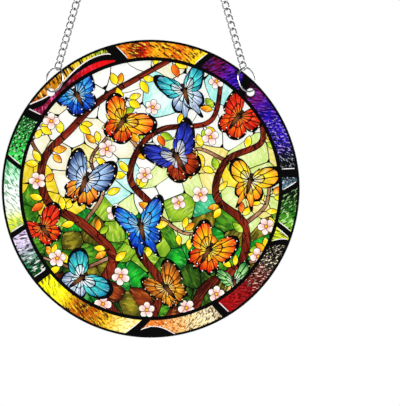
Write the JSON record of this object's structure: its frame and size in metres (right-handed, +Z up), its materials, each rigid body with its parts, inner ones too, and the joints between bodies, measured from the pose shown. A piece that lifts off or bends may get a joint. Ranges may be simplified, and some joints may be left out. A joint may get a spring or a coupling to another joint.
{
  "type": "hanging acrylic suncatcher",
  "caption": "Round flat see-through panel printed like leaded glass, hung from one point by a thin chain with a jump ring through a hole at each side.",
  "frame": {"origin": "the hang point: the top of the opening in the chain's middle link, where a hook bears", "axes": "+Z up along the line of pull; the panel hangs below in the XZ plane with its printed face towards -Y; +X to the right as seen from the printed face"},
  "size_m": [0.15, 0.0096, 0.2996],
  "materials": {
    "printed_acrylic": "clear acrylic with a see-through print in many colours, glossy",
    "plated_ring": "bright silver-coloured plating",
    "plated_chain": "bright silver-coloured plating"
  },
  "bodies": {
    "root": {"acrylic_panel": "printed_acrylic", "left_jump_ring": "plated_ring", "right_jump_ring": "plated_ring", "left_chain_run": "plated_chain", "right_chain_run": "plated_chain", "middle_link": "plated_chain"}
  },
  "joints": []
}
